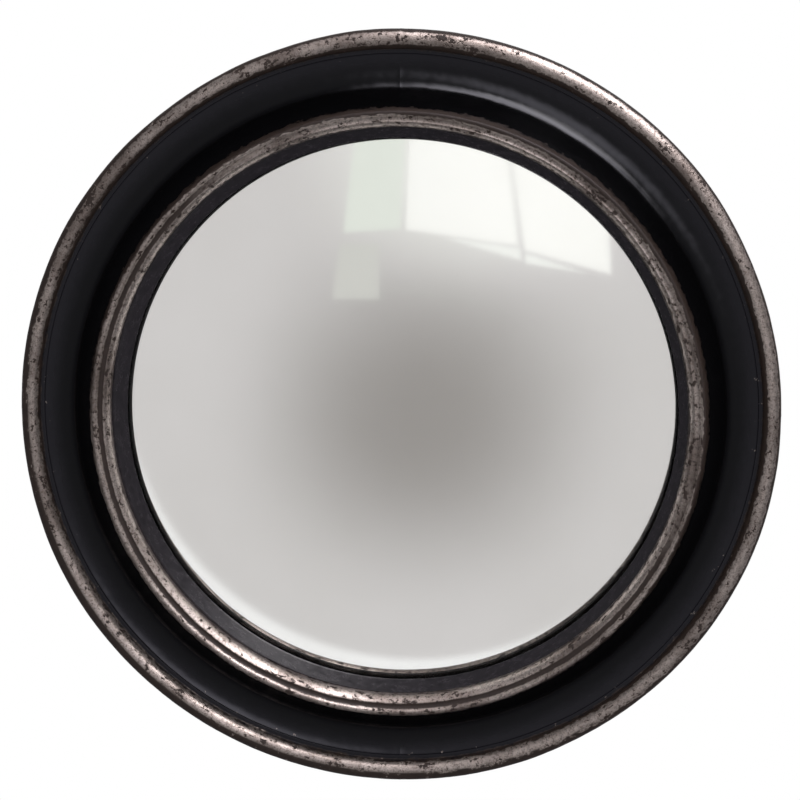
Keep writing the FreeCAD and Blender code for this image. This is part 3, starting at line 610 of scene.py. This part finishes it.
def makeSlipFinish():
    # Spirit-stained and waxed limewood: almost black, violet-brown where the light catches it, faintly mottled.
    material, tree = newMaterial("stainedLimewood")
    at = mouldingPlace(tree)
    mottle = addNode(tree, "ShaderNodeTexNoise", {"Scale": slip["mottle"], "Detail": 5, "Roughness": 0.65},
                     {"Vector": at["ring"], "W": at["over"]}, noise_dimensions="4D").outputs[0]
    color = addNode(tree, "ShaderNodeValToRGB", links={0: mottle},
                    stops=[(0.35, tint(slip["stains"][0])), (0.62, tint(slip["stains"][1]))]).outputs[0]
    rough = addNode(tree, "ShaderNodeMapRange", {1: 0.3, 2: 0.7, 3: slip["rough"][0], 4: slip["rough"][1]},
                    {0: mottle}).outputs[0]
    bump = addNode(tree, "ShaderNodeBump", {"Strength": 0.3, "Distance": 0.2 * mm},
                   {"Height": mottle}).outputs[0]
    closeMaterial(tree, {"Specular IOR Level": slip["gloss"]},
                  {"Base Color": color, "Roughness": rough, "Normal": bump})
    return material


def makeGlassFinish():
    # Slumped soda-lime glass: clear with a trace of grey-green, faint waves from the mould and a little dust.
    material, tree = newMaterial("slumpedGlass")
    place = addNode(tree, "ShaderNodeTexCoord").outputs["Object"]
    wave = addNode(tree, "ShaderNodeTexNoise", {"Scale": dome["waves"], "Detail": 1},
                   {"Vector": place}).outputs[0]
    dust = addNode(tree, "ShaderNodeTexNoise", {"Scale": dome["dust"], "Detail": 2},
                   {"Vector": place}).outputs[0]
    rough = addNode(tree, "ShaderNodeMapRange", {1: 0.66, 2: 0.75, 3: 0.0, 4: 0.04}, {0: dust}).outputs[0]
    bump = addNode(tree, "ShaderNodeBump", {"Strength": 0.04, "Distance": 0.4 * mm},
                   {"Height": wave}).outputs[0]
    closeMaterial(tree, {"Base Color": tint(dome["tint"]), "IOR": dome["ior"], "Transmission Weight": 1.0},
                  {"Roughness": rough, "Normal": bump})
    return material


def makeSilverFinish():
    # Silver deposited on the glass, with backing paint behind it: a mirror, a touch warm, slightly hazed.
    material, tree = newMaterial("depositedSilver")
    place = addNode(tree, "ShaderNodeTexCoord").outputs["Object"]
    fog = addNode(tree, "ShaderNodeTexNoise", {"Scale": dome["fog"], "Detail": 3}, {"Vector": place}).outputs[0]
    color = addNode(tree, "ShaderNodeValToRGB", links={0: fog},
                    stops=[(0.3, tint(dome["silverTones"][0])), (0.7, tint(dome["silverTones"][1]))]).outputs[0]
    rough = addNode(tree, "ShaderNodeMapRange",
                    {1: 0.3, 2: 0.7, 3: dome["silverRough"][0], 4: dome["silverRough"][1]}, {0: fog}).outputs[0]
    closeMaterial(tree, {"Metallic": 1.0}, {"Base Color": color, "Roughness": rough})
    return material


for piece, node, slot, finish in (
        (slipPiece, "slip_ring", "slip_wood", makeSlipFinish()),
        (glassPiece, "convex_glass", "glass", makeGlassFinish()),
        (silverPiece, "silvering", "silvering", makeSilverFinish())):
    piece.data.materials.clear()
    piece.data.materials.append(finish)
    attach(piece, "mirror_frame")
    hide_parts(node)


# What the back shows. Each finish has its two tones, its roughness, its metallic share, the size of its pattern
# in patterns a metre, how much that is drawn out along X, Y and Z, and the height of its bumps in mm.
backFinishes = {
    # Beech, sawn and planed: pale tan, close fine flecks.
    "spline_wood": {"name": "planedBeech", "tones": ("#8E6844", "#B48C62"), "rough": (0.5, 0.65),
                    "metal": 0, "scale": 420, "drawn": (1, 1, 1), "bump": 0.1},
    # Wool felt, pressed: near black, soft and matt.
    "felt": {"name": "pressedFelt", "tones": ("#151416", "#2A282A"), "rough": (0.9, 1.0),
             "metal": 0, "scale": 900, "drawn": (1, 1, 1), "bump": 0.3},
    # Laminated grey card: dull brown-grey with long fibres.
    "card": {"name": "laminatedCard", "tones": ("#857459", "#A08D6E"), "rough": (0.75, 0.9),
             "metal": 0, "scale": 300, "drawn": (1, 1, 0.3), "bump": 0.1},
    # Hardboard, wet-pressed wood fibre: warm brown, mottled with darker fibre bundles, faint sheen.
    "hardboard": {"name": "pressedHardboard", "tones": ("#4A301C", "#8C6240"), "rough": (0.42, 0.62),
                  "metal": 0, "scale": 170, "drawn": (1, 1, 0.55), "bump": 0.12},
    # Zinc-plated pressed steel: cool grey, brushed fine, cloudy where it has dulled.
    "steel": {"name": "zincPlatedSteel", "tones": ("#8A8D90", "#C0C2C4"), "rough": (0.26, 0.46),
              "metal": 1, "scale": 380, "drawn": (1, 1, 0.12), "bump": 0.03},
    # Brass-plated steel, grown brown: yellow-brown metal with darker blots.
    "brass": {"name": "dulledBrassPlate", "tones": ("#6E522A", "#B79355"), "rough": (0.28, 0.5),
              "metal": 1, "scale": 260, "drawn": (1, 1, 1), "bump": 0.03},
    # Moulded rubber: charcoal and matt, a little grey where it has rubbed on the wall.
    "rubber": {"name": "mouldedRubber", "tones": ("#121213", "#2B2B2D"), "rough": (0.7, 0.9),
               "metal": 0, "scale": 700, "drawn": (1, 1, 1), "bump": 0.08},
}
cloudSize = 9    # the clouds in a back finish are this many times as large as its fine pattern


def makeBackFinish(facts):
    material, tree = newMaterial(facts["name"])
    place = addNode(tree, "ShaderNodeTexCoord").outputs["Object"]
    place = addNode(tree, "ShaderNodeMapping", {"Scale": facts["drawn"]}, {"Vector": place}).outputs[0]
    fine = addNode(tree, "ShaderNodeTexNoise", {"Scale": facts["scale"], "Detail": 6, "Roughness": 0.68},
                   {"Vector": place}).outputs[0]
    cloud = addNode(tree, "ShaderNodeTexNoise",
                    {"Scale": facts["scale"] / cloudSize, "Detail": 3, "Roughness": 0.6},
                    {"Vector": place}).outputs[0]
    both = addNode(tree, "ShaderNodeMath", links={0: fine, 1: cloud}, operation="ADD").outputs[0]
    color = addNode(tree, "ShaderNodeMapRange", {1: 0.78, 2: 1.24}, {0: both}).outputs[0]
    color = addNode(tree, "ShaderNodeMix", {6: tint(facts["tones"][0]), 7: tint(facts["tones"][1])},
                    {0: color}, data_type="RGBA").outputs[2]
    rough = addNode(tree, "ShaderNodeMapRange",
                    {1: 0.35, 2: 0.65, 3: facts["rough"][0], 4: facts["rough"][1]}, {0: cloud}).outputs[0]
    bump = addNode(tree, "ShaderNodeBump", {"Strength": 0.6, "Distance": facts["bump"] * mm},
                   {"Height": fine}).outputs[0]
    closeMaterial(tree, {"Metallic": facts["metal"]},
                  {"Base Color": color, "Roughness": rough, "Normal": bump})
    return material


for slot, facts in backFinishes.items():
    finish = makeBackFinish(facts)
    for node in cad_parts.values():
        for place in node.material_slots:
            if place.material and place.material.name.split(".")[0] == slot:
                place.material = finish
print("finishes made")


# The room that the mirror shows: a pale wall with a dim middle, a window up to the right, and a brighter wall far
# out. None of it is seen by the camera, and it lights the frame no brighter than a plain room.
studio = {
    # what the mirror shows
    "wall": (0.775, 0.742, 0.765, 1), "dimMiddle": (0.40, 0.374, 0.375, 1), "veil": (1.0, 0.985, 0.985, 1),
    "brightEdge": (1.12, 1.1, 1.14, 1),
    # what the frame's gloss picks up
    "front": (0.22, 0.215, 0.22, 1), "side": (0.07, 0.068, 0.076, 1), "sash": (1.9, 1.83, 1.95, 1),
    "above": (5.2, 5.0, 5.2, 1), "below": (0.36, 0.35, 0.4, 1), "behind": (0.75, 0.74, 0.75, 1),
    "evenLight": (0.62, 0.615, 0.62, 1),    # what lights matt surfaces
    # the middle of each spot, as azimuth and elevation in degrees, and where it starts and ends to fade
    "dimSpot": (-1, -11, 0, 30), "veilSpot": (4, 23, 4, 25), "edgeSpot": (-2, -7, 33.6, 35.2),
    "sashSpot": (14, 17, 2, 22), "aboveSpot": (54, 62, 8, 40),
}


def directionOf(azimuth, elevation):
    # towards a place in the room: azimuth 0 is straight in front of the mirror, and grows to its right
    a, e = math.radians(azimuth), math.radians(elevation)
    return Vector((math.sin(a) * math.cos(e), -math.cos(a) * math.cos(e), math.sin(e)))


def makeRoom():
    world = bpy.data.worlds.new("studioRoom")
    bpy.context.scene.world = world
    world.use_nodes = True
    tree = world.node_tree
    tree.nodes.clear()
    rays = addNode(tree, "ShaderNodeLightPath").outputs
    towards = addNode(tree, "ShaderNodeTexCoord").outputs["Generated"]

    def spot(azimuth, elevation, inner, outer):
        # 1 within the inner angle of a direction, and 0 past the outer one
        aim = directionOf(azimuth, elevation)
        cosine = addNode(tree, "ShaderNodeVectorMath", {1: aim}, {0: towards},
                         operation="DOT_PRODUCT").outputs["Value"]
        angle = addNode(tree, "ShaderNodeMath", links={0: cosine}, operation="ARCCOSINE").outputs[0]
        return addNode(tree, "ShaderNodeMapRange", {1: math.radians(outer), 2: math.radians(inner)}, {0: angle},
                       interpolation_type="SMOOTHERSTEP").outputs[0]

    # what the mirror shows, through its glass
    wall = addNode(tree, "ShaderNodeMix", {6: studio["wall"], 7: studio["dimMiddle"]},
                   {0: spot(*studio["dimSpot"])}, data_type="RGBA").outputs[2]
    wall = addNode(tree, "ShaderNodeMix", {7: studio["veil"]}, {0: spot(*studio["veilSpot"]), 6: wall},
                   data_type="RGBA").outputs[2]
    wall = addNode(tree, "ShaderNodeMix", {6: studio["brightEdge"]}, {0: spot(*studio["edgeSpot"]), 7: wall},
                   data_type="RGBA").outputs[2]
    # what the frame's gloss picks up: a dim room in front, dark to the sides, a window and a skylight, a pale
    # floor low behind, and a pale wall that the metal parts on the back face
    parts = addNode(tree, "ShaderNodeSeparateXYZ", links={0: towards}).outputs
    toSide = addNode(tree, "ShaderNodeMapRange", {1: -0.85, 2: -0.35}, {0: parts["Y"]},
                     interpolation_type="SMOOTHSTEP").outputs[0]
    gloss = addNode(tree, "ShaderNodeMix", {6: studio["front"], 7: studio["side"]}, {0: toSide},
                    data_type="RGBA").outputs[2]
    gloss = addNode(tree, "ShaderNodeMix", {7: studio["sash"]}, {0: spot(*studio["sashSpot"]), 6: gloss},
                    data_type="RGBA").outputs[2]
    gloss = addNode(tree, "ShaderNodeMix", {7: studio["above"]}, {0: spot(*studio["aboveSpot"]), 6: gloss},
                    data_type="RGBA").outputs[2]
    toBack = addNode(tree, "ShaderNodeMapRange", {1: 0.25, 2: 0.6}, {0: parts["Y"]},
                     interpolation_type="SMOOTHSTEP").outputs[0]
    low = addNode(tree, "ShaderNodeMapRange", {1: -0.3, 2: -0.65}, {0: parts["Z"]},
                  interpolation_type="SMOOTHSTEP").outputs[0]
    below = addNode(tree, "ShaderNodeMath", links={0: toBack, 1: low}, operation="MULTIPLY").outputs[0]
    gloss = addNode(tree, "ShaderNodeMix", {7: studio["below"]}, {0: below, 6: gloss},
                    data_type="RGBA").outputs[2]
    behind = addNode(tree, "ShaderNodeMapRange", {1: 0.55, 2: 0.75}, {0: parts["Y"]},
                     interpolation_type="SMOOTHSTEP").outputs[0]
    gloss = addNode(tree, "ShaderNodeMix", {7: studio["behind"]}, {0: behind, 6: gloss},
                    data_type="RGBA").outputs[2]
    glossLight = addNode(tree, "ShaderNodeBackground", links={"Color": gloss}).outputs[0]
    wallLight = addNode(tree, "ShaderNodeBackground", links={"Color": wall}).outputs[0]
    evenLight = addNode(tree, "ShaderNodeBackground", {"Color": studio["evenLight"]}).outputs[0]
    plain = addNode(tree, "ShaderNodeBackground", {"Color": (1, 1, 1, 1), "Strength": 1.0}).outputs[0]
    shown = addNode(tree, "ShaderNodeMixShader",
                    links={0: rays["Is Glossy Ray"], 1: evenLight, 2: glossLight}).outputs[0]
    shown = addNode(tree, "ShaderNodeMixShader",
                    links={0: rays["Is Transmission Ray"], 1: shown, 2: wallLight}).outputs[0]
    shown = addNode(tree, "ShaderNodeMixShader",
                    links={0: rays["Is Camera Ray"], 1: shown, 2: plain}).outputs[0]
    addNode(tree, "ShaderNodeOutputWorld", links={"Surface": shown})


# The window's lit panes, seen only in the mirror: corners as (x, z) in metres on the window's plane, then strength
# and colour.
window = {
    "distance": 3.0,
    "panes": [
        ([(-0.15, 0.656), (0.60, 0.556), (0.46, 1.9), (-0.13, 1.9)], 1.2, (1, 0.985, 0.99, 1)),
        ([(0.645, 0.524), (1.26, 0.357), (1.255, 1.9), (0.505, 1.9)], 1.2, (1, 0.985, 0.99, 1)),
        ([(0.114, 0.601), (0.619, 0.455), (0.611, 0.533), (0.36, 0.571)], 1.12, (1, 1, 1, 1)),
        ([(0.647, 0.437), (1.085, 0.366), (0.86, 0.437), (0.648, 0.501)], 1.12, (1, 1, 1, 1)),
        ([(-0.571, 0.632), (-0.186, 0.659), (-0.165, 1.9), (-0.49, 1.9)], 0.98, (0.97, 1, 0.96, 1)),
        ([(-0.635, 0.187), (-0.319, 0.193), (-0.326, 0.558), (-0.596, 0.556)], 0.76, (1, 0.985, 0.97, 1)),
    ],
}


def makePane(number, corners, strength, color):
    deselectAll()
    bpy.ops.mesh.primitive_plane_add(size=1, location=(0, 0, 0))
    pane = renamed(bpy.context.object, f"windowPane{number}")
    for vertex, (x, z) in zip(pane.data.vertices, (corners[0], corners[1], corners[3], corners[2])):
        vertex.co = (x, -window["distance"], z)
    material, tree = newMaterial(f"paneLight{number}")
    light = addNode(tree, "ShaderNodeEmission", {"Color": color, "Strength": strength}).outputs[0]
    addNode(tree, "ShaderNodeOutputMaterial", links={"Surface": light})
    pane.data.materials.append(material)
    pane.visible_camera = pane.visible_glossy = pane.visible_diffuse = False
    pane.visible_shadow = False


# One soft lamp from the upper right, its direction in degrees, its distance and size in metres.
keyLamp = {"azimuth": 36, "elevation": 42, "distance": 2.6, "size": 1.2, "power": 11, "color": (1, 0.965, 0.95)}


def addKeyLamp():
    aim = directionOf(keyLamp["azimuth"], keyLamp["elevation"])
    deselectAll()
    bpy.ops.object.light_add(type="AREA", location=aim * keyLamp["distance"],
                             rotation=aim.to_track_quat("Z", "Y").to_euler())
    lamp = bpy.context.object
    lamp.name = "keyLamp"
    lamp.data.shape = "RECTANGLE"
    lamp.data.size = lamp.data.size_y = keyLamp["size"]
    lamp.data.energy = keyLamp["power"]
    lamp.data.color = keyLamp["color"]
    lamp.visible_camera = False


# A pale floor well below the mirror keeps its shadow. Lengths are in metres.
paleFloor = {"drop": 0.78, "radius": 1.1, "sides": 96, "color": "#E9E8E6", "roughness": 0.7}


def makeFloor():
    deselectAll()
    bpy.ops.mesh.primitive_circle_add(vertices=paleFloor["sides"], radius=paleFloor["radius"], fill_type="NGON",
                                      location=(0, 0, 0))
    disc = renamed(bpy.context.object, "studioFloor")
    for vertex in disc.data.vertices:
        vertex.co.z = -paleFloor["drop"]
    material, tree = newMaterial("paleFloor")
    closeMaterial(tree, {"Base Color": tint(paleFloor["color"]), "Roughness": paleFloor["roughness"]}, {})
    disc.data.materials.append(material)
    disc.visible_glossy = disc.visible_transmission = False


makeRoom()
for number, (corners, strength, color) in enumerate(window["panes"], start=1):
    makePane(number, corners, strength, color)
addKeyLamp()
makeFloor()
bpy.context.scene.view_settings.view_transform = "Standard"
print("studio lit")
